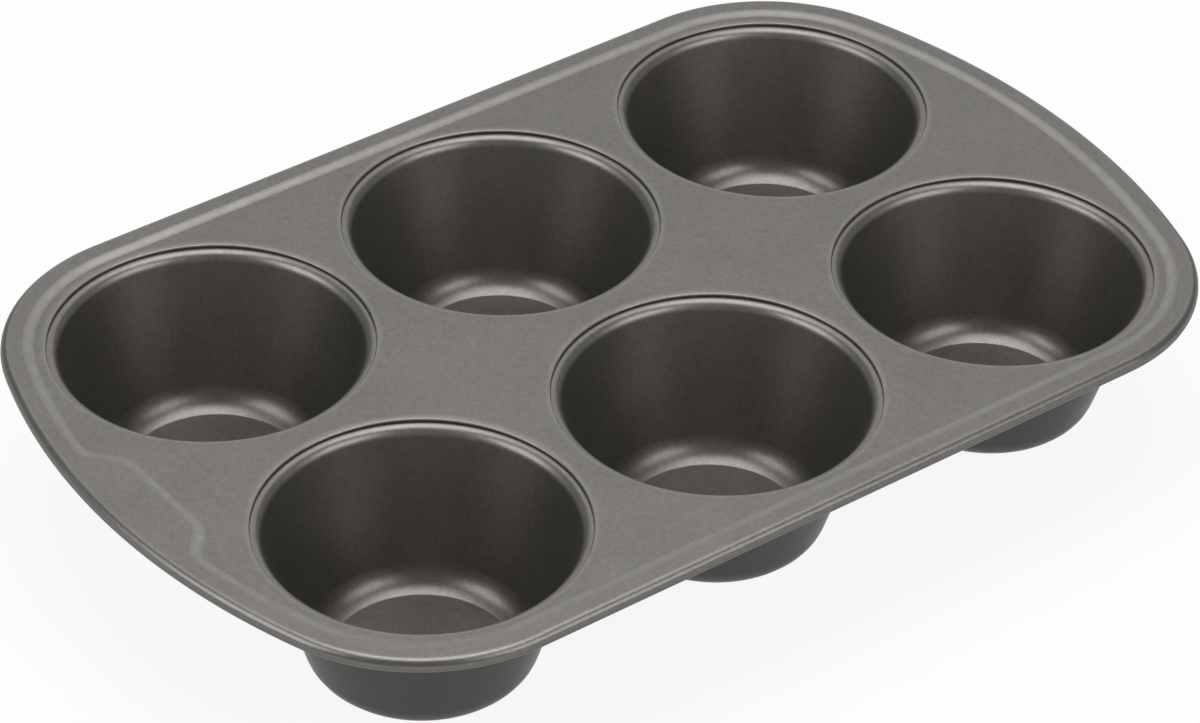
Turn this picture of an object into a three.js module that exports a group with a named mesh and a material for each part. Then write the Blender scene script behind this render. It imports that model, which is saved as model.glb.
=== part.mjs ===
// Jumbo muffin pan: drawn cups lock-seamed into one stamped sheet-metal tray.
// Millimetres, +Z up. The origin is on the table, under the middle of the tray.

import * as THREE from 'three';
import { mergeGeometries, mergeVertices } from 'three/addons/utils/BufferGeometryUtils.js';

// Sheet and pattern of cups
const SHEET = 0.5;
const CUP_COLUMNS = 3;
const CUP_ROWS = 2;
const HOLE_RADIUS = 47;
const LAND_BETWEEN_COLUMNS = 8.3;
const LAND_BETWEEN_ROWS = 9.3;

// Cup, measured on its inside
const CUP_DEPTH = 46.6;
const CUP_TAPER = THREE.MathUtils.degToRad(16.9);
const LIP_SHELF = 0.7;
const LIP_RADIUS = 2.5;
const FLOOR_RING_WIDTH = 4.35;
const FLOOR_CONE_SLOPE = THREE.MathUtils.degToRad(19);
const FLOOR_FILLET = 8;

// Lock seam between a cup and its hole
const SEAM_CLEARANCE = 0.1;
const SEAM_LAP = 1.7;
const HOOK_CLEARANCE = 0.15;

// Border of the tray, from the field outwards
const LAND_AT_SIDES = 2.75;
const LAND_AT_ENDS = 2.9;
const STEP_WIDTH = 2.7;
const STEP_RISE = 1.2;
const FLANGE_WIDTH = 4.4;
const FLANGE_DROOP = 0.5;
const ROLL_RADIUS = 2.25;
const ROLL_TURN = THREE.MathUtils.degToRad(270);
const CORNER_LAND = 10;
const END_BOW = 9.1;

// Widened flange panel at the left end
const PANEL_WIDTH = 10.25;
const PANEL_LENGTH = 37;
const PANEL_SLANT = THREE.MathUtils.degToRad(45);
const PANEL_ROUNDING = 4;

// Fineness of the facets
const CIRCLE_STEPS = 32;
const LIP_STEPS = 2;
const FILLET_STEPS = 3;
const FOLD_STEPS = 2;
const NOSE_STEPS = 2;
const ROLL_STEPS = 9;
const ROLL_INSIDE_STEPS = 6;
const CORNER_STEPS = 7;
const END_STEPS = 4;
const SLANT_STEPS = 8;

// Sizes that follow from the driving dimensions
const CUP_PITCH_X = 2 * HOLE_RADIUS + LAND_BETWEEN_COLUMNS;
const CUP_PITCH_Y = 2 * HOLE_RADIUS + LAND_BETWEEN_ROWS;
const FIELD_TOP = SHEET + CUP_DEPTH;
const LAYER = SHEET + SEAM_CLEARANCE;
const NOSE_RADIUS = LAYER + SHEET / 2;
const NOSE_CENTRE = HOLE_RADIUS + NOSE_RADIUS;
const LEAF_END = NOSE_CENTRE + SEAM_LAP;
const CUP_FLANGE_TOP = FIELD_TOP - 3 * LAYER;
const FOLD_INSIDE = SHEET / 2 + SEAM_CLEARANCE;
const STEP_START = ROLL_RADIUS + FLANGE_WIDTH;
const BORDER_WIDTH = STEP_START + STEP_WIDTH;
const FLANGE_TOP = FIELD_TOP + STEP_RISE;
const ROLL_CENTRE_Z = FLANGE_TOP - FLANGE_DROOP - ROLL_RADIUS;
const CORNER_REACH = (CUP_COLUMNS - 1) * CUP_PITCH_X / 2 + HOLE_RADIUS + LAND_AT_ENDS + BORDER_WIDTH;
const HALF_LENGTH = CORNER_REACH + END_BOW;
const HALF_WIDTH = (CUP_ROWS - 1) * CUP_PITCH_Y / 2 + HOLE_RADIUS + LAND_AT_SIDES + BORDER_WIDTH;
const CORNER_RADIUS = HOLE_RADIUS + CORNER_LAND;
const CORNER_X = CORNER_REACH - CORNER_RADIUS;
const CORNER_Y = HALF_WIDTH - CORNER_RADIUS;

// The bowed end runs into both of its corners without a kink
const END_ARC_RADIUS = CORNER_RADIUS + END_BOW / 2 + CORNER_Y ** 2 / (2 * END_BOW);
const END_ARC_CENTRE = HALF_LENGTH - END_ARC_RADIUS;
const END_ARC_ANGLE = Math.atan2(CORNER_Y, CORNER_X - END_ARC_CENTRE);

// Non-stick coating, a warm dark grey with a metallic sheen
function coating(name) {
  return new THREE.MeshStandardMaterial({ name, color: 0x77736e, roughness: 0.5, metalness: 0.6 });
}

// Points of an arc in a plane, from one angle to another
function arcPoints(centreX, centreY, radius, from, to, steps) {
  const points = [];
  for (let i = 0; i <= steps; i += 1) {
    const angle = from + (to - from) * i / steps;
    points.push(new THREE.Vector2(centreX + radius * Math.cos(angle), centreY + radius * Math.sin(angle)));
  }
  return points;
}

// The larger of two values, with a rounded change from one to the other
function roundedMax(a, b, rounding) {
  const overlap = Math.max(rounding - Math.abs(a - b), 0);
  return Math.max(a, b) + overlap * overlap / (4 * rounding);
}

// Second face of a formed sheet: the line moved to its right by the sheet's thickness, with mitred bends
function sheetOffset(line, thickness) {
  const normals = [];
  for (let i = 0; i + 1 < line.length; i += 1) {
    const along = line[i + 1].clone().sub(line[i]).normalize();
    normals.push(new THREE.Vector2(along.y, -along.x));
  }
  return line.map((point, i) => {
    const before = normals[Math.max(i - 1, 0)];
    const after = normals[Math.min(i, normals.length - 1)];
    const mitre = before.clone().add(after);
    return point.clone().addScaledVector(mitre, thickness / (1 + before.dot(after)));
  });
}

// Inside line of a cup in radius and height, from the middle of its floor to the end of its hook
function cupInsideLine() {
  const lipCentre = new THREE.Vector2(HOLE_RADIUS - LIP_SHELF, CUP_FLANGE_TOP - LIP_RADIUS);
  const wallNormal = new THREE.Vector2(-Math.cos(CUP_TAPER), Math.sin(CUP_TAPER));
  const wallTop = lipCentre.clone().addScaledVector(wallNormal, LIP_RADIUS);
  const coneNormal = new THREE.Vector2(-Math.sin(FLOOR_CONE_SLOPE), Math.cos(FLOOR_CONE_SLOPE));
  const footRadius = wallTop.x - (wallTop.y - SHEET) * Math.tan(CUP_TAPER);
  const discEdge = new THREE.Vector2(footRadius - FLOOR_RING_WIDTH, SHEET);

  // The fillet's centre lies one fillet radius off both the wall and the floor's cone
  const wallLevel = wallNormal.dot(wallTop) + FLOOR_FILLET;
  const coneLevel = coneNormal.dot(discEdge) + FLOOR_FILLET;
  const cross = wallNormal.x * coneNormal.y - wallNormal.y * coneNormal.x;
  const filletR = (wallLevel * coneNormal.y - coneLevel * wallNormal.y) / cross;
  const filletZ = (wallNormal.x * coneLevel - coneNormal.x * wallLevel) / cross;

  const fillet = arcPoints(filletR, filletZ, FLOOR_FILLET, FLOOR_CONE_SLOPE - Math.PI / 2, -CUP_TAPER,
    FILLET_STEPS);
  const lip = arcPoints(lipCentre.x, lipCentre.y, LIP_RADIUS, Math.PI - CUP_TAPER, Math.PI / 2, LIP_STEPS);
  const fold = arcPoints(LEAF_END, CUP_FLANGE_TOP + FOLD_INSIDE, FOLD_INSIDE, -Math.PI / 2, Math.PI / 2,
    FOLD_STEPS);
  const hookEnd = new THREE.Vector2(NOSE_CENTRE + HOOK_CLEARANCE, CUP_FLANGE_TOP + 2 * FOLD_INSIDE);
  return [new THREE.Vector2(0, SHEET), discEdge, ...fillet, ...lip, ...fold, hookEnd];
}

// Drawn cup with its hooked flange, turned about its own axis
function cupGeometry() {
  const inside = cupInsideLine();
  const outside = sheetOffset(inside, SHEET);
  const profile = [...outside, ...inside.reverse()];
  const geometry = new THREE.LatheGeometry(profile, CIRCLE_STEPS);
  geometry.rotateX(Math.PI / 2);
  return geometry;
}

// Points around the tray's outer edge, each with its outward direction
function outlineStations() {
  const stations = [];
  const addStation = (centreX, centreY, radius, angle) => {
    const outward = new THREE.Vector2(Math.cos(angle), Math.sin(angle));
    stations.push({ point: new THREE.Vector2(centreX, centreY).addScaledVector(outward, radius), outward });
  };
  const addCorner = (signX, signY, from) => {
    const sweep = Math.PI / 2 - END_ARC_ANGLE;
    for (let i = 0; i <= CORNER_STEPS; i += 1) {
      addStation(signX * CORNER_X, signY * CORNER_Y, CORNER_RADIUS, from + sweep * i / CORNER_STEPS);
    }
  };

  for (let i = 1 - END_STEPS; i < END_STEPS; i += 1) {
    addStation(END_ARC_CENTRE, 0, END_ARC_RADIUS, END_ARC_ANGLE * i / END_STEPS);
  }
  addCorner(1, 1, END_ARC_ANGLE);
  addCorner(-1, 1, Math.PI / 2);
  for (const y of panelEndHeights()) {
    addStation(-END_ARC_CENTRE, 0, END_ARC_RADIUS, Math.PI - Math.asin(y / END_ARC_RADIUS));
  }
  addCorner(-1, -1, Math.PI + END_ARC_ANGLE);
  addCorner(1, -1, Math.PI * 1.5);
  return stations;
}

// Heights across the left end at which its curve is cut, closer together over the panel's slants
function panelEndHeights() {
  const endHalfHeight = END_ARC_RADIUS * Math.sin(END_ARC_ANGLE);
  const slantReach = PANEL_WIDTH / Math.tan(PANEL_SLANT) + PANEL_ROUNDING + STEP_WIDTH;
  const slantOuter = PANEL_LENGTH / 2 + slantReach;
  const slantInner = Math.max(PANEL_LENGTH / 2 - PANEL_ROUNDING, 0);
  const upper = [(endHalfHeight + slantOuter) / 2];
  for (let i = 0; i <= SLANT_STEPS; i += 1) {
    upper.push(slantOuter + (slantInner - slantOuter) * i / SLANT_STEPS);
  }
  return [...upper, 0, ...upper.map((y) => -y).reverse()];
}

// Ring at a distance inside the outer edge
function edgeRing(stations, inset, z) {
  return stations.map(({ point, outward }) => {
    const moved = point.clone().addScaledVector(outward, -inset);
    return new THREE.Vector3(moved.x, moved.y, z);
  });
}

// Ring along the border's step, which turns inwards around the panel at the left end
function stepRing(stations, beyondStep, z) {
  const panelEdge = PANEL_WIDTH + STEP_START + beyondStep - HALF_LENGTH;
  const panelHalf = PANEL_LENGTH / 2 + beyondStep * Math.tan(PANEL_SLANT / 2);
  return edgeRing(stations, STEP_START + beyondStep, z).map((point) => {
    const pastCorner = (Math.abs(point.y) - panelHalf) * Math.tan(PANEL_SLANT);
    const panelX = panelEdge - roundedMax(pastCorner, 0, PANEL_ROUNDING);
    return new THREE.Vector3(roundedMax(point.x, panelX, PANEL_ROUNDING), point.y, z);
  });
}

// Ring around a hole, cut at the same angles as the cup's facets
function holeRing(centre, radius, z) {
  const points = [];
  for (let i = 0; i < CIRCLE_STEPS; i += 1) {
    const angle = 2 * Math.PI * i / CIRCLE_STEPS;
    const x = centre.x + radius * Math.sin(angle);
    const y = centre.y - radius * Math.cos(angle);
    points.push(new THREE.Vector3(x, y, z));
  }
  return points;
}

// Surface of triangles on shared points
function surface(points, triangles) {
  const geometry = new THREE.BufferGeometry().setFromPoints(points);
  geometry.setIndex(triangles);
  return geometry;
}

// Band through a row of closed rings with equal numbers of points
function band(rings) {
  const count = rings[0].length;
  const triangles = [];
  for (let row = 0; row + 1 < rings.length; row += 1) {
    for (let i = 0; i < count; i += 1) {
      const a = row * count + i;
      const b = row * count + (i + 1) % count;
      triangles.push(a, b, b + count, a, b + count, a + count);
    }
  }
  return surface(rings.flat(), triangles);
}

// Flat face with holes, seen from above or from below
function flatFace(outer, holes, facesUp) {
  const toPlan = (ring) => ring.map((point) => new THREE.Vector2(point.x, point.y));
  const faces = THREE.ShapeUtils.triangulateShape(toPlan(outer), holes.map(toPlan));
  const triangles = faces.flatMap(([a, b, c]) => (facesUp ? [a, b, c] : [a, c, b]));
  return surface([...outer, ...holes.flat()], triangles);
}

// Section of the rolled edge in inset and height, from the flange's top around the roll to its underside
function rollSection() {
  const rollEnd = Math.PI / 2 + ROLL_TURN;
  const inner = ROLL_RADIUS - SHEET;
  const outside = arcPoints(ROLL_RADIUS, ROLL_CENTRE_Z, ROLL_RADIUS, Math.PI / 2, rollEnd, ROLL_STEPS);
  const inside = arcPoints(ROLL_RADIUS, ROLL_CENTRE_Z, inner, rollEnd, Math.PI / 2, ROLL_INSIDE_STEPS);
  return [...outside, ...inside];
}

// Section of a hole's folded edge in radius and height, from the field's top to its underside
function seamSection() {
  const foldZ = FIELD_TOP - NOSE_RADIUS;
  const leafTop = foldZ - NOSE_RADIUS + SHEET;
  const nose = arcPoints(NOSE_CENTRE, foldZ, NOSE_RADIUS, Math.PI / 2, Math.PI, NOSE_STEPS);
  return [
    ...nose,
    new THREE.Vector2(NOSE_CENTRE, foldZ - NOSE_RADIUS),
    new THREE.Vector2(LEAF_END, foldZ - NOSE_RADIUS),
    new THREE.Vector2(LEAF_END, leafTop),
    new THREE.Vector2(NOSE_CENTRE, leafTop),
    new THREE.Vector2(NOSE_CENTRE, FIELD_TOP - SHEET),
  ];
}

// Stamped tray: flat field with folded hole edges, stepped border and rolled edge
function trayGeometry(cupCentres) {
  const stations = outlineStations();
  const underMitre = SHEET * Math.tan(Math.atan2(STEP_RISE, STEP_WIDTH) / 2);
  const fieldTop = stepRing(stations, STEP_WIDTH, FIELD_TOP);
  const fieldUnder = stepRing(stations, STEP_WIDTH - underMitre, FIELD_TOP - SHEET);
  const border = [
    fieldUnder,
    stepRing(stations, -underMitre, FLANGE_TOP - SHEET),
    ...rollSection().reverse().map(({ x, y }) => edgeRing(stations, x, y)),
    stepRing(stations, 0, FLANGE_TOP),
    fieldTop,
  ];
  const seams = cupCentres.map((centre) => seamSection().map(({ x, y }) => holeRing(centre, x, y)));
  const faces = [
    band(border),
    flatFace(fieldTop, seams.map((rings) => rings[0]), true),
    flatFace(fieldUnder, seams.map((rings) => rings[rings.length - 1]), false),
    ...seams.map(band),
  ];
  return mergeVertices(mergeGeometries(faces));
}

// Plain name of a place in a row of copies
function placeName(index, count, first, last) {
  if (index === 0) {
    return first;
  }
  if (index === count - 1) {
    return last;
  }
  return count === 3 ? 'middle' : `middle_${index}`;
}

const pan = new THREE.Group();
const cupCentres = [];
for (let row = 0; row < CUP_ROWS; row += 1) {
  for (let column = 0; column < CUP_COLUMNS; column += 1) {
    const rowName = placeName(row, CUP_ROWS, 'front', 'back');
    const columnName = placeName(column, CUP_COLUMNS, 'left', 'right');
    const x = (column - (CUP_COLUMNS - 1) / 2) * CUP_PITCH_X;
    const y = (row - (CUP_ROWS - 1) / 2) * CUP_PITCH_Y;
    const cup = new THREE.Mesh(cupGeometry(), coating('cup_coating'));
    cup.name = `cup_${rowName}_${columnName}`;
    cup.position.set(x, y, 0);
    cupCentres.push(new THREE.Vector2(x, y));
    pan.add(cup);
  }
}

const tray = new THREE.Mesh(trayGeometry(cupCentres), coating('tray_coating'));
tray.name = 'tray';
pan.add(tray);

export default pan;
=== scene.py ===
# Looks of a jumbo muffin pan, in metres: a stamped tray with drawn cups lock-seamed into it

import math

import bpy
from mathutils import Matrix, Vector
from mathutils.geometry import tessellate_polygon


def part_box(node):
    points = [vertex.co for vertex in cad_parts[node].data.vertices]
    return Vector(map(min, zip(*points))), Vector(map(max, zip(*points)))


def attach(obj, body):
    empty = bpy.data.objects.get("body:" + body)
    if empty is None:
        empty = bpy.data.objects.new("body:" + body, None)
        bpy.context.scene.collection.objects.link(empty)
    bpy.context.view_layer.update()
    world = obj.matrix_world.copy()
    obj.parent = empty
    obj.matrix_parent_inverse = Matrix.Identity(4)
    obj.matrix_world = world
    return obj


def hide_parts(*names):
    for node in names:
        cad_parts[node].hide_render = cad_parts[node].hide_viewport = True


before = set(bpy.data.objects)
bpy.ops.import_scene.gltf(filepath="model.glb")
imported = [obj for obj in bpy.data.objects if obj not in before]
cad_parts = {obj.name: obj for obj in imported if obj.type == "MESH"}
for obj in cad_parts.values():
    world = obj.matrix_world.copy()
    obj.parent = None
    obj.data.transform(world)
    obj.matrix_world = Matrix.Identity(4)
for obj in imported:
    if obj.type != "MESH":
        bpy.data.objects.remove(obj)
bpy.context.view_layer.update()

MM = 0.001

# Sheet and lock seam, pressed tight into a shallow dish
SHEET = 0.38 * MM
HOLE_RADIUS = 47 * MM
SEAM_CLEARANCE = 0.03 * MM
SEAM_LAP = 1.7 * MM
HOOK_CLEARANCE = 0.15 * MM
DISH_WIDTH = 2.1 * MM
DISH_SLOPE = math.radians(5)
DISH_ROUNDING = 4 * MM

# Cup, measured on its inside
CUP_TAPER = math.radians(16.9)
LIP_SHELF = 0.07 * MM
LIP_RADIUS = 3.2 * MM
FLOOR_RING_WIDTH = 4.35 * MM
FLOOR_CONE_SLOPE = math.radians(19)
FLOOR_BEND = 0.8 * MM
FLOOR_FILLET = 9.7 * MM

# Border of the tray, from the field outwards
STEP_WIDTH = 2.7 * MM
STEP_RISE = 0.8 * MM
FIELD_DEPTH = 1.2 * MM
STEP_ROUNDING = 0.8 * MM
FLANGE_WIDTH = 4.4 * MM
FLANGE_DROOP = 0.1 * MM
ROLL_RADIUS = 2.25 * MM
CORNER_LAND = 10 * MM
END_BOW = 9.1 * MM

# Widened flange panel at the left end
PANEL_WIDTH = 10.25 * MM
PANEL_LENGTH = 37 * MM
PANEL_SLANT = math.radians(45)
PANEL_ROUNDING = 4 * MM

# Fineness of the meshes
CIRCLE_STEPS = 144
CORNER_STEPS = 36
END_STEPS = 60
PANEL_END_STEPS = 140
BEND_STEP = math.radians(11.25)
GUARD = 0.4 * MM
LONG_STRAIGHT = 7 * GUARD
FIELD_LEDGE = GUARD / 2
SAME_PLACE = SHEET / 1000
STRAIGHT_TURN = math.radians(0.01)

# Wear along the bends, on the outside of each bend or, where negative, in its hollow; on the lip and the
# roll's top it is partly painted highlight, and along the step it is painted highlight alone, a lighter
# strip
FOOT_WEAR = 0.6
LIP_WEAR_AND_SHEEN = 0.35
NOSE_WEAR = 0.7
STEP_FOOT_SHEEN = -0.6
STEP_MIDDLE_SHEEN = -1.2
STEP_TOP_SHEEN = 0.6
ROLL_WEAR_AND_SHEEN = 0.3

# Coating: its colours, the lighter colour of wear and painted highlight, the painted shade that darkens
# the roll and the underside and how far it covers them, and its shine
TRAY_DEEP = (0.143, 0.137, 0.126, 1)
TRAY_BRIGHT = (0.274, 0.262, 0.244, 1)
CUP_DEEP = (0.138, 0.13, 0.118, 1)
CUP_BRIGHT = (0.266, 0.251, 0.229, 1)
WORN_AND_SHEEN = (0.36, 0.35, 0.335, 1)
OUTSIDE_SHADE = (0.045, 0.0445, 0.043, 1)
ROLL_SHADE_SHARE = 0.5
UNDERSIDE_SHADE_SHARE = 0.85
METAL_SHARE = 0.85
SHINE_TINT = (0.7, 0.7, 0.7, 1)
ROUGHNESS_RANGE = (0.33, 0.37)

# Noises of the coating, each by scale, detail and roughness, and the stretch of the streaks
FLECK_NOISE = (1500, 2, 0.7)
GRAIN_NOISE = (520, 3, 0.6)
CLOUD_NOISE = (45, 3, 0.5)
PATCH_NOISE = (220, 3, 0.5)
WAVE_NOISE = (22, 1, 0.5)
STREAK_NOISE = (1, 3, 0.6)
STREAK_SCALE = (55, 55, 160)

# Ranges of the noises, and the tones, wear with painted highlight, and heights that they give
NOISE_RANGE = (0.3, 0.7)
PATCH_RANGE = (0.35, 0.65)
FLECK_TONES = (-0.2, 0.2)
GRAIN_TONES = (-0.12, 0.12)
CLOUD_TONES = (0.45, 0.55)
STREAK_TONES = (-0.05, 0.05)
PATCH_WEAR_AND_SHEEN = (0.4, 0.6)
WAVE_HEIGHT = 0.06 * MM
PEEL_HEIGHT = 0.008 * MM

# Turn and shift of the noises, which keep their own planes off the pan's flats
NOISE_TURN = (0.5, 0.3, 0.7)
NOISE_SHIFT = (0.61, 0.47, 0.83)

# Places of a mix node's sockets for colours
MIX_FACTOR = 0
MIX_FIRST = 6
MIX_SECOND = 7
MIX_RESULT = 2

# Camera, at the photograph's place
CAMERA_AIM = Vector((-18.34, -21.09, 47.1)) * MM
CAMERA_DISTANCE = 1488.5 * MM
CAMERA_AZIMUTH = math.radians(-37.872)
CAMERA_ELEVATION = math.radians(36.722)
CAMERA_ROLL = math.radians(1.329)
CAMERA_LENS = 157.04
SENSOR_WIDTH = 36

# Light: each lamp is placed by its turn from the camera, and a brightness of one is white
HORIZON_BRIGHTNESS = 0.3
ZENITH_BRIGHTNESS = 0.12
HORIZON_TOP = math.radians(12)
ZENITH_FOOT = math.radians(60)
OVERHEAD_TURN = 0
OVERHEAD_ELEVATION = math.radians(95)
OVERHEAD_DISTANCE = 1.3
OVERHEAD_SIZE = (0.95, 0.95)
OVERHEAD_BRIGHTNESS = 2.6
CANOPY_TURN = 0
CANOPY_ELEVATION = math.radians(110)
CANOPY_DISTANCE = 2.4
CANOPY_SIZE = (2.9, 1.7)
CANOPY_BRIGHTNESS = 0.5
FRONT_LEFT_TURN = math.radians(-68)
FRONT_RIGHT_TURN = math.radians(56)
FRONT_ELEVATION = math.radians(34)
FRONT_DISTANCE = 1.6
FRONT_SIZE = (1, 1)
FRONT_LEFT_BRIGHTNESS = 2.65
FRONT_RIGHT_BRIGHTNESS = 2.4
BACK_TURN = math.pi
BACK_ELEVATION = math.radians(30)
BACK_DISTANCE = 2.2
BACK_SIZE = (2.2, 2.2)
BACK_BRIGHTNESS = 0.62

# White floor: its own colour, and the share of plain white that is seen on it
FLOOR_SIZE = 20
FLOOR_GAP = 0.05 * MM
FLOOR_COLOUR = (0.9, 0.9, 0.9, 1)
FLOOR_GLOW = 0.9
GLOW_BRIGHTNESS = 1
WHITE = (1, 1, 1, 1)

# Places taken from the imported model
_, tray_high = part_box("tray")
HALF_LENGTH = tray_high[0]
HALF_WIDTH = tray_high[1]
FIELD_TOP = tray_high[2] - FIELD_DEPTH
FLANGE_TOP = FIELD_TOP + STEP_RISE
CUP_NODES = sorted(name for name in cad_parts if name.startswith("cup_"))

# Sizes that follow from the driving dimensions
LAYER = SHEET + SEAM_CLEARANCE
NOSE_RADIUS = LAYER + SHEET / 2
NOSE_CENTRE = HOLE_RADIUS + NOSE_RADIUS
NOSE_TOP = FIELD_TOP - DISH_WIDTH * math.tan(DISH_SLOPE)
LEAF_END = NOSE_CENTRE + SEAM_LAP
LEAF_BOTTOM = FIELD_TOP - 2 * NOSE_RADIUS
CUP_FLANGE_TOP = FIELD_TOP - 3 * LAYER
FOLD_INSIDE = SHEET / 2 + SEAM_CLEARANCE
STEP_START = ROLL_RADIUS + FLANGE_WIDTH
BORDER_WIDTH = STEP_START + STEP_WIDTH
FLANGE_SLOPE = math.atan2(FLANGE_DROOP, FLANGE_WIDTH)
ROLL_TOP = FLANGE_TOP - STEP_START * math.tan(FLANGE_SLOPE)
ROLL_CENTRE_Z = FLANGE_TOP - FLANGE_DROOP - ROLL_RADIUS / math.cos(FLANGE_SLOPE)
CORNER_RADIUS = HOLE_RADIUS + CORNER_LAND
CORNER_X = HALF_LENGTH - END_BOW - CORNER_RADIUS
CORNER_Y = HALF_WIDTH - CORNER_RADIUS
END_ARC_RADIUS = CORNER_RADIUS + END_BOW / 2 + CORNER_Y ** 2 / (2 * END_BOW)
END_ARC_CENTRE = HALF_LENGTH - END_ARC_RADIUS
END_ARC_ANGLE = math.atan2(CORNER_Y, CORNER_X - END_ARC_CENTRE)


# Larger of two values, with a rounded change from one to the other
def rounded_max(a, b, rounding):
    overlap = max(rounding - abs(a - b), 0)
    return max(a, b) + overlap * overlap / (4 * rounding)


# Rounded line through corners of place, radius and wear with painted highlight; a point's wear and
# highlight is above zero on the right face
def rounded_line(corners):
    line = [(Vector(corners[0][0]), 0)]

    def put(place, wear_and_sheen):
        if (place - line[-1][0]).length > SAME_PLACE:
            line.append((place, wear_and_sheen))

    for (before, *_), (corner, radius, wear_and_sheen), (after, *_) in zip(corners, corners[1:], corners[2:]):
        corner = Vector(corner)
        into = (corner - Vector(before)).normalized()
        out = (Vector(after) - corner).normalized()
        turn = math.atan2(into.x * out.y - into.y * out.x, into.dot(out))
        side = -1 if turn < -STRAIGHT_TURN else 1
        reach = radius * math.tan(abs(turn) / 2)
        spoke = Vector((into.y, -into.x)) * side * radius
        centre = corner - into * reach - spoke
        steps = max(2, math.ceil(abs(turn) / BEND_STEP))
        for i in range(steps + 1):
            put(centre + Matrix.Rotation(turn * i / steps, 2) @ spoke, side * wear_and_sheen)
    put(Vector(corners[-1][0]), 0)
    return guarded(line)


# Line with an extra point at each end of its long straights, so that flats shade as flats
def guarded(line):
    points = [line[0]]
    for (start, _), (end, wear_and_sheen) in zip(line, line[1:]):
        along = end - start
        if along.length > LONG_STRAIGHT:
            step = along.normalized() * GUARD
            points.append((start + step, 0))
            points.append((end - step, 0))
        points.append((end, wear_and_sheen))
    return points


# Both faces of a formed sheet: the line itself and its offset to the right, as places with wear and
# painted highlight, and side
def sheet_faces(line, thickness):
    normals = []
    for (start, _), (end, _) in zip(line, line[1:]):
        along = (end - start).normalized()
        normals.append(Vector((along.y, -along.x)))
    left = []
    right = []
    for i, (place, wear_and_sheen) in enumerate(line):
        before = normals[max(i - 1, 0)]
        after = normals[min(i, len(normals) - 1)]
        moved = place + (before + after) * thickness / (1 + before.dot(after))
        left.append((place, max(-wear_and_sheen, 0), 0))
        right.append((moved, max(wear_and_sheen, 0), 1))
    return left, right


# Points, faces and per-point values of one formed sheet
class Shell:
    def __init__(self):
        self.points = []
        self.faces = []
        self.wear_and_sheen = []
        self.under = []
        self.drawn = []

    def point(self, place, wear_and_sheen, under, drawn=(0, 0, 0)):
        self.points.append(tuple(place))
        self.wear_and_sheen.append(wear_and_sheen)
        self.under.append(under)
        self.drawn.append(tuple(drawn))
        return len(self.points) - 1

    def loft(self, rings):
        for ring, following in zip(rings, rings[1:]):
            count = len(ring)
            for i in range(count):
                j = (i + 1) % count
                self.faces.append((ring[i], ring[j], following[j], following[i]))

    def cap(self, middle, ring, outwards):
        count = len(ring)
        for i in range(count):
            pair = (ring[i], ring[(i + 1) % count])
            self.faces.append((middle, *(reversed(pair) if outwards else pair)))

    def flat(self, outlines, faces_up):
        places = [[Vector((*self.points[i][:2], 0)) for i in outline] for outline in outlines]
        indices = [i for outline in outlines for i in outline]
        for triangle in tessellate_polygon(places):
            a, b, c = (indices[i] for i in triangle)
            first, second, third = (Vector(self.points[i]) for i in (a, b, c))
            turns_up = (second - first).cross(third - first).z > 0
            self.faces.append((a, b, c) if turns_up == faces_up else (a, c, b))

    def piece(self, name, node, material):
        mesh = bpy.data.meshes.new(name)
        mesh.from_pydata(self.points, [], self.faces)
        for attribute, values in (("wear_and_sheen", self.wear_and_sheen), ("under", self.under)):
            mesh.attributes.new(attribute, "FLOAT", "POINT").data.foreach_set("value", values)
        drawn = mesh.attributes.new("drawn", "FLOAT_VECTOR", "POINT")
        drawn.data.foreach_set("vector", [value for place in self.drawn for value in place])
        mesh.shade_smooth()
        mesh.materials.append(material)
        shell = bpy.data.objects.new(name, mesh)
        bpy.context.scene.collection.objects.link(shell)
        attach(shell, "root")
        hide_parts(node)


# Inside line of a cup in radius and height, from near the middle of its floor to the end of its hook
def cup_line():
    lip_centre = Vector((HOLE_RADIUS - LIP_SHELF, CUP_FLANGE_TOP - LIP_RADIUS))
    wall_top = lip_centre + LIP_RADIUS * Vector((-math.cos(CUP_TAPER), math.sin(CUP_TAPER)))
    wall_slope = math.tan(CUP_TAPER)
    cone_slope = math.tan(FLOOR_CONE_SLOPE)
    lip_corner = (wall_top.x + (CUP_FLANGE_TOP - wall_top.y) * wall_slope, CUP_FLANGE_TOP)
    foot_r = wall_top.x + (SHEET - wall_top.y) * wall_slope
    foot_rise = FLOOR_RING_WIDTH * cone_slope / (1 - cone_slope * wall_slope)
    foot_corner = (foot_r + foot_rise * wall_slope, SHEET + foot_rise)
    disc_edge = foot_r - FLOOR_RING_WIDTH
    fold_end = LEAF_END + FOLD_INSIDE
    hook_z = CUP_FLANGE_TOP + 2 * FOLD_INSIDE
    return rounded_line([
        ((disc_edge / 2, SHEET), 0, 0),
        ((disc_edge, SHEET), FLOOR_BEND, 0),
        # The foot's fillet carries wear; the lip's rounding carries wear with painted highlight
        (foot_corner, FLOOR_FILLET, FOOT_WEAR),
        (lip_corner, LIP_RADIUS, LIP_WEAR_AND_SHEEN),
        ((fold_end, CUP_FLANGE_TOP), FOLD_INSIDE, 0),
        ((fold_end, hook_z), FOLD_INSIDE, 0),
        ((NOSE_CENTRE + HOOK_CLEARANCE, hook_z), 0, 0),
    ])


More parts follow.
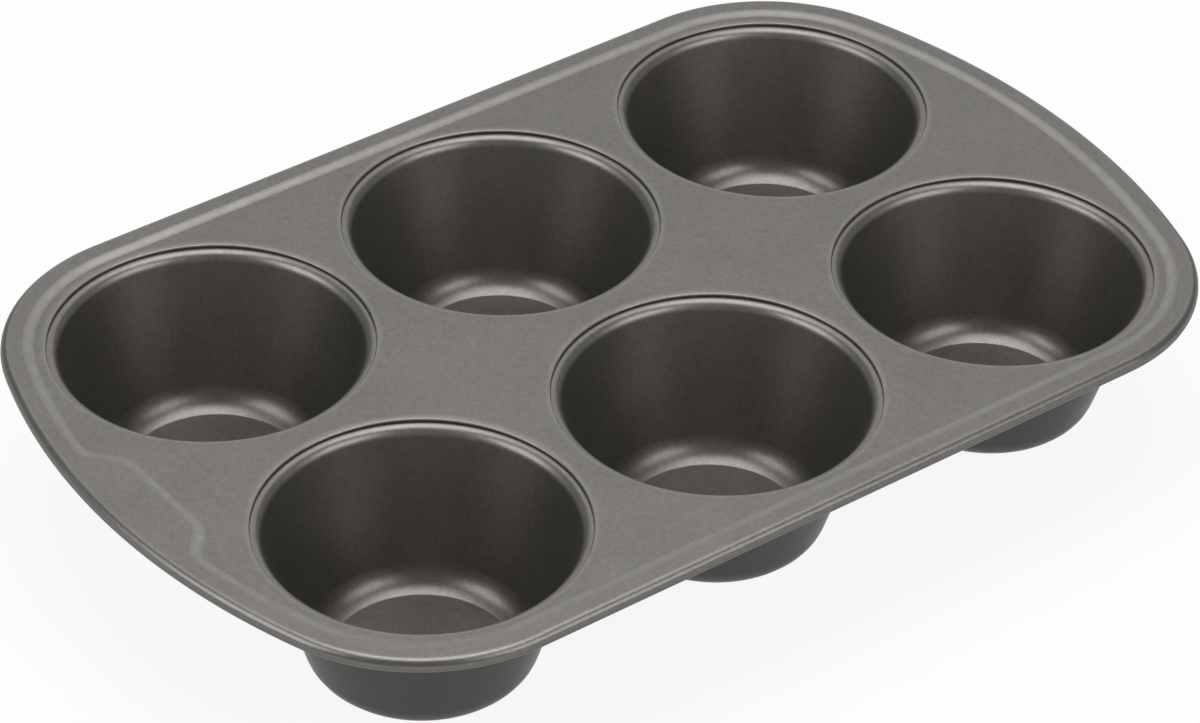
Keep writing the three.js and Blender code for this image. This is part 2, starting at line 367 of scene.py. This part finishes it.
# Drawn cup with its hooked flange, turned about its axis; streak_start gives each cup its own streaks
def make_cup(node, material, streak_start):
    low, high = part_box(node)
    centre = (Vector(low) + Vector(high)) / 2
    inside, outside = sheet_faces(cup_line(), SHEET)
    shell = Shell()
    rings = []
    travelled = streak_start
    last = outside[0][0]
    for place, wear_and_sheen, under in outside + inside[::-1]:
        travelled += (place - last).length
        last = place
        ring = []
        for i in range(CIRCLE_STEPS):
            angle = 2 * math.pi * i / CIRCLE_STEPS
            across = Vector((math.cos(angle), math.sin(angle)))
            spot = (centre.x + place.x * across.x, centre.y + place.x * across.y, place.y)
            ring.append(shell.point(spot, wear_and_sheen, under, (across.x, across.y, travelled)))
        rings.append(ring)
    shell.loft(rings)
    bottom = shell.point((centre.x, centre.y, 0), 0, 1, (0, 0, streak_start))
    floor = shell.point((centre.x, centre.y, SHEET), 0, 0, (0, 0, travelled))
    shell.cap(bottom, rings[0], True)
    shell.cap(floor, rings[-1], False)
    shell.piece(node + "_shell", node, material)
    return centre


# Points around the tray's outer edge, each with its outward direction
def outline_stations():
    stations = []

    def put(centre_x, centre_y, radius, angle):
        outward = Vector((math.cos(angle), math.sin(angle)))
        stations.append((Vector((centre_x, centre_y)) + outward * radius, outward))

    def put_corner(sign_x, sign_y, start):
        sweep = math.pi / 2 - END_ARC_ANGLE
        for i in range(CORNER_STEPS + 1):
            put(sign_x * CORNER_X, sign_y * CORNER_Y, CORNER_RADIUS, start + sweep * i / CORNER_STEPS)

    def put_end(sign, start, steps):
        for i in range(1, steps):
            angle = start + 2 * END_ARC_ANGLE * i / steps
            put(sign * END_ARC_CENTRE, 0, END_ARC_RADIUS, angle)

    put_end(1, -END_ARC_ANGLE, END_STEPS)
    put_corner(1, 1, END_ARC_ANGLE)
    put_corner(-1, 1, math.pi / 2)
    put_end(-1, math.pi - END_ARC_ANGLE, PANEL_END_STEPS)
    put_corner(-1, -1, math.pi + END_ARC_ANGLE)
    put_corner(1, -1, math.pi * 1.5)
    return stations


# Places at a distance inside the outer edge
def edge_places(stations, inset):
    return [place - outward * inset for place, outward in stations]


# Places along the border's step, which turns inwards around the panel at the left end
def step_places(stations, beyond_step):
    panel_edge = PANEL_WIDTH + STEP_START + beyond_step - HALF_LENGTH
    panel_half = PANEL_LENGTH / 2 + beyond_step * math.tan(PANEL_SLANT / 2)
    places = []
    for place in edge_places(stations, STEP_START + beyond_step):
        past_corner = (abs(place.y) - panel_half) * math.tan(PANEL_SLANT)
        panel_x = panel_edge - rounded_max(past_corner, 0, PANEL_ROUNDING)
        places.append(Vector((rounded_max(place.x, panel_x, PANEL_ROUNDING), place.y)))
    return places


# Top line of the border in outward distance and height, from the field to the end of the rolled edge
def border_line():
    roll_bottom = ROLL_CENTRE_Z - ROLL_RADIUS
    step_middle = (-BORDER_WIDTH + STEP_WIDTH / 2, FIELD_TOP + STEP_RISE / 2)
    return rounded_line([
        ((-BORDER_WIDTH - FIELD_LEDGE, FIELD_TOP), 0, 0),
        # The step's bends and middle carry painted highlight, a lighter strip along the step; the roll's
        # top carries wear with painted highlight
        ((-BORDER_WIDTH, FIELD_TOP), STEP_ROUNDING, STEP_FOOT_SHEEN),
        (step_middle, 0, STEP_MIDDLE_SHEEN),
        ((-STEP_START, FLANGE_TOP), STEP_ROUNDING, STEP_TOP_SHEEN),
        ((0, ROLL_TOP), ROLL_RADIUS, ROLL_WEAR_AND_SHEEN),
        ((0, roll_bottom), ROLL_RADIUS, 0),
        ((-2 * ROLL_RADIUS, roll_bottom), ROLL_RADIUS, 0),
        ((-2 * ROLL_RADIUS, ROLL_CENTRE_Z), 0, 0),
    ])


# Outer line of a hole's folded edge in radius and height, from the end of its leaf to the field's top
def seam_line():
    nose_rounding = (NOSE_TOP - LEAF_BOTTOM) / 2
    dish_edge = HOLE_RADIUS + DISH_WIDTH
    return rounded_line([
        ((LEAF_END, LEAF_BOTTOM), 0, 0),
        ((HOLE_RADIUS, LEAF_BOTTOM), nose_rounding, 0),
        ((HOLE_RADIUS, NOSE_TOP), nose_rounding, NOSE_WEAR),
        ((dish_edge, FIELD_TOP), DISH_ROUNDING, 0),
        ((dish_edge + FIELD_LEDGE, FIELD_TOP), 0, 0),
    ])


# Stamped tray: flat field with folded hole edges, stepped border and rolled edge
def make_tray(cup_centres, material):
    shell = Shell()
    stations = outline_stations()
    middle_of_flange = (ROLL_RADIUS + STEP_START) / 2

    def border_ring(place, wear_and_sheen, under):
        inset = -place.x
        # Painted shade on the roll's top face, deeper towards the roll's bottom
        if inset < ROLL_RADIUS:
            down_roll = min((ROLL_TOP - place.y) / ROLL_RADIUS, 1)
            under = max(under, down_roll * ROLL_SHADE_SHARE)
        if inset > middle_of_flange:
            places = step_places(stations, inset - STEP_START)
        else:
            places = edge_places(stations, inset)
        return [shell.point((spot.x, spot.y, place.y), wear_and_sheen, under) for spot in places]

    def hole_ring(centre, place, wear_and_sheen, under):
        ring = []
        for i in range(CIRCLE_STEPS):
            angle = 2 * math.pi * i / CIRCLE_STEPS
            spot_x = centre.x + place.x * math.cos(angle)
            spot_y = centre.y + place.x * math.sin(angle)
            ring.append(shell.point((spot_x, spot_y, place.y), wear_and_sheen, under))
        return ring

    top, under = sheet_faces(border_line(), SHEET)
    border = [border_ring(*point) for point in under + top[::-1]]
    shell.loft(border)
    field_top = [border[-1]]
    field_under = [border[0]]

    outer, inner = sheet_faces(seam_line(), SHEET)
    for centre in cup_centres:
        seam = [hole_ring(centre, *point) for point in outer[::-1] + inner]
        shell.loft(seam)
        field_top.append(seam[0])
        field_under.append(seam[-1])

    shell.flat(field_top, True)
    shell.flat(field_under, False)
    shell.piece("tray_sheet", "tray", material)


# New node with its settings and inputs; an input is a value or another node's socket
def add_node(tree, kind, inputs=None, **settings):
    node = tree.nodes.new(kind)
    for name, value in settings.items():
        setattr(node, name, value)
    for name, value in (inputs or {}).items():
        if isinstance(value, bpy.types.NodeSocket):
            tree.links.new(value, node.inputs[name])
        else:
            node.inputs[name].default_value = value
    return node


# Noise at a scale in features per unit of its vector
def noise(tree, vector, scale, detail, roughness):
    inputs = {"Vector": vector, "Scale": scale, "Detail": detail, "Roughness": roughness}
    return add_node(tree, "ShaderNodeTexNoise", inputs).outputs["Fac"]


# Value moved from one range to another
def map_range(tree, value, low, high, to_low, to_high):
    inputs = {"Value": value, "From Min": low, "From Max": high, "To Min": to_low, "To Max": to_high}
    return add_node(tree, "ShaderNodeMapRange", inputs).outputs["Result"]


# Result of an operation on two values
def math_node(tree, operation, first, second):
    return add_node(tree, "ShaderNodeMath", {0: first, 1: second}, operation=operation).outputs[0]


# Colour between two colours
def mix_colour(tree, factor, first, second):
    inputs = {MIX_FACTOR: factor, MIX_FIRST: first, MIX_SECOND: second}
    return add_node(tree, "ShaderNodeMix", inputs, data_type="RGBA").outputs[MIX_RESULT]


# Satin non-stick coating with a metallic fleck, slightly lighter along its bends by wear and painted
# highlight, and darkened by painted shade on the roll, the cups' outsides and the underside
def coating(name, deep, bright, streaked):
    material = bpy.data.materials.new(name)
    material.use_nodes = True
    tree = material.node_tree
    shader = tree.nodes["Principled BSDF"]
    centred = add_node(tree, "ShaderNodeTexCoord").outputs["Object"]
    moved = {"Vector": centred, "Location": NOISE_SHIFT, "Rotation": NOISE_TURN}
    place = add_node(tree, "ShaderNodeMapping", moved).outputs[0]

    fleck = noise(tree, place, *FLECK_NOISE)
    grain = noise(tree, place, *GRAIN_NOISE)
    cloud = noise(tree, place, *CLOUD_NOISE)
    fleck_part = map_range(tree, fleck, *NOISE_RANGE, *FLECK_TONES)
    grain_part = map_range(tree, grain, *NOISE_RANGE, *GRAIN_TONES)
    cloud_part = map_range(tree, cloud, *NOISE_RANGE, *CLOUD_TONES)
    tone = math_node(tree, "ADD", math_node(tree, "ADD", fleck_part, grain_part), cloud_part)

    if streaked:
        drawn = add_node(tree, "ShaderNodeAttribute", attribute_name="drawn").outputs["Vector"]
        stretched = {"Vector": drawn, "Scale": STREAK_SCALE}
        streak = noise(tree, add_node(tree, "ShaderNodeMapping", stretched).outputs[0], *STREAK_NOISE)
        tone = math_node(tree, "ADD", tone, map_range(tree, streak, *NOISE_RANGE, *STREAK_TONES))

    # Lighter colour, in patches, where the bends carry wear and painted highlight, and along the step
    # where it is painted highlight alone
    wear_and_sheen = add_node(tree, "ShaderNodeAttribute", attribute_name="wear_and_sheen").outputs["Fac"]
    patchy = map_range(tree, noise(tree, place, *PATCH_NOISE), *PATCH_RANGE, *PATCH_WEAR_AND_SHEEN)
    wear_and_sheen_share = math_node(tree, "MULTIPLY", wear_and_sheen, patchy)
    colour = mix_colour(tree, wear_and_sheen_share, mix_colour(tree, tone, deep, bright), WORN_AND_SHEEN)
    # Painted shade: the darker colour on the cups' outsides, the tray's underside and the roll's lower
    # half
    under = add_node(tree, "ShaderNodeAttribute", attribute_name="under").outputs["Fac"]
    colour = mix_colour(tree, math_node(tree, "MULTIPLY", under, UNDERSIDE_SHADE_SHARE), colour, OUTSIDE_SHADE)
    tree.links.new(colour, shader.inputs["Base Color"])

    roughness = map_range(tree, cloud, *NOISE_RANGE, *ROUGHNESS_RANGE)
    tree.links.new(roughness, shader.inputs["Roughness"])
    shader.inputs["Metallic"].default_value = METAL_SHARE
    shader.inputs["Specular Tint"].default_value = SHINE_TINT

    waves = noise(tree, place, *WAVE_NOISE)
    wavy = add_node(tree, "ShaderNodeBump", {"Height": waves, "Strength": 1, "Distance": WAVE_HEIGHT})
    peel = {"Height": fleck, "Strength": 1, "Distance": PEEL_HEIGHT, "Normal": wavy.outputs[0]}
    tree.links.new(add_node(tree, "ShaderNodeBump", peel).outputs[0], shader.inputs["Normal"])
    return material


# White floor that keeps a soft shadow
def make_floor():
    material = bpy.data.materials.new("floor_white")
    material.use_nodes = True
    tree = material.node_tree
    tree.nodes.remove(tree.nodes["Principled BSDF"])
    output = tree.nodes["Material Output"]
    diffuse = add_node(tree, "ShaderNodeBsdfDiffuse", {"Color": FLOOR_COLOUR})
    glow = add_node(tree, "ShaderNodeEmission", {"Color": WHITE, "Strength": GLOW_BRIGHTNESS})
    share = math_node(tree, "MULTIPLY", seen_ray(tree), FLOOR_GLOW)
    mixed = add_node(tree, "ShaderNodeMixShader", {0: share, 1: diffuse.outputs[0], 2: glow.outputs[0]})
    tree.links.new(mixed.outputs[0], output.inputs["Surface"])

    mesh = bpy.data.meshes.new("floor")
    half = FLOOR_SIZE / 2
    corners = [(-half, -half), (half, -half), (half, half), (-half, half)]
    mesh.from_pydata([(x, y, -FLOOR_GAP) for x, y in corners], [], [(0, 1, 2, 3)])
    mesh.materials.append(material)
    floor = bpy.data.objects.new("floor", mesh)
    bpy.context.scene.collection.objects.link(floor)


# One for rays that see a surface directly, by reflection or through glass
def seen_ray(tree):
    path = add_node(tree, "ShaderNodeLightPath")
    seen = math_node(tree, "MAXIMUM", path.outputs["Is Camera Ray"], path.outputs["Is Glossy Ray"])
    return math_node(tree, "MAXIMUM", seen, path.outputs["Is Transmission Ray"])


# Turn of something that looks at the pan from an azimuth and elevation
def looking_from(azimuth, elevation):
    return Matrix.Rotation(azimuth, 4, "Z") @ Matrix.Rotation(math.pi / 2 - elevation, 4, "X")


# Soft lamp of a width and depth that looks at the pan
def add_lamp(name, turn, elevation, distance, size, brightness):
    data = bpy.data.lights.new(name, "AREA")
    data.shape = "RECTANGLE"
    data.size, data.size_y = size
    data.energy = brightness * math.pi * data.size * data.size_y
    lamp = bpy.data.objects.new(name, data)
    pose = looking_from(CAMERA_AZIMUTH + turn, elevation)
    lamp.matrix_world = pose @ Matrix.Translation((0, 0, distance))
    lamp.visible_camera = False
    bpy.context.scene.collection.objects.link(lamp)


# Studio light: a grey surround, and soft lamps overhead, behind the pan and on both sides of the camera
def make_light():
    world = bpy.data.worlds.new("studio")
    world.use_nodes = True
    tree = world.node_tree
    background = tree.nodes["Background"]
    background.inputs["Color"].default_value = WHITE
    direction = add_node(tree, "ShaderNodeTexCoord").outputs["Generated"]
    height = add_node(tree, "ShaderNodeSeparateXYZ", {0: direction}).outputs["Z"]
    low = math.sin(HORIZON_TOP)
    high = math.sin(ZENITH_FOOT)
    strength = map_range(tree, height, low, high, HORIZON_BRIGHTNESS, ZENITH_BRIGHTNESS)
    tree.links.new(strength, background.inputs["Strength"])
    bpy.context.scene.world = world

    overhead = (OVERHEAD_TURN, OVERHEAD_ELEVATION, OVERHEAD_DISTANCE, OVERHEAD_SIZE)
    canopy = (CANOPY_TURN, CANOPY_ELEVATION, CANOPY_DISTANCE, CANOPY_SIZE)
    front_left = (FRONT_LEFT_TURN, FRONT_ELEVATION, FRONT_DISTANCE, FRONT_SIZE)
    front_right = (FRONT_RIGHT_TURN, FRONT_ELEVATION, FRONT_DISTANCE, FRONT_SIZE)
    back = (BACK_TURN, BACK_ELEVATION, BACK_DISTANCE, BACK_SIZE)
    add_lamp("overhead", *overhead, OVERHEAD_BRIGHTNESS)
    add_lamp("canopy", *canopy, CANOPY_BRIGHTNESS)
    add_lamp("front_left", *front_left, FRONT_LEFT_BRIGHTNESS)
    add_lamp("front_right", *front_right, FRONT_RIGHT_BRIGHTNESS)
    add_lamp("back", *back, BACK_BRIGHTNESS)


# Camera at the photograph's place
def make_camera():
    turn = looking_from(CAMERA_AZIMUTH, CAMERA_ELEVATION)
    data = bpy.data.cameras.new("camera")
    data.sensor_width = SENSOR_WIDTH
    data.lens = CAMERA_LENS
    camera = bpy.data.objects.new("camera", data)
    back = turn @ Vector((0, 0, CAMERA_DISTANCE))
    roll = Matrix.Rotation(CAMERA_ROLL, 4, "Z")
    camera.matrix_world = Matrix.Translation(CAMERA_AIM + back) @ turn @ roll
    bpy.context.scene.collection.objects.link(camera)
    bpy.context.scene.camera = camera


tray_coat = coating("tray_coat", TRAY_DEEP, TRAY_BRIGHT, streaked=False)
cup_coat = coating("cup_coat", CUP_DEEP, CUP_BRIGHT, streaked=True)
cup_centres = [make_cup(node, cup_coat, start) for start, node in enumerate(CUP_NODES)]
make_tray(cup_centres, tray_coat)
make_floor()
make_light()
make_camera()
bpy.context.scene.view_settings.view_transform = "Standard"
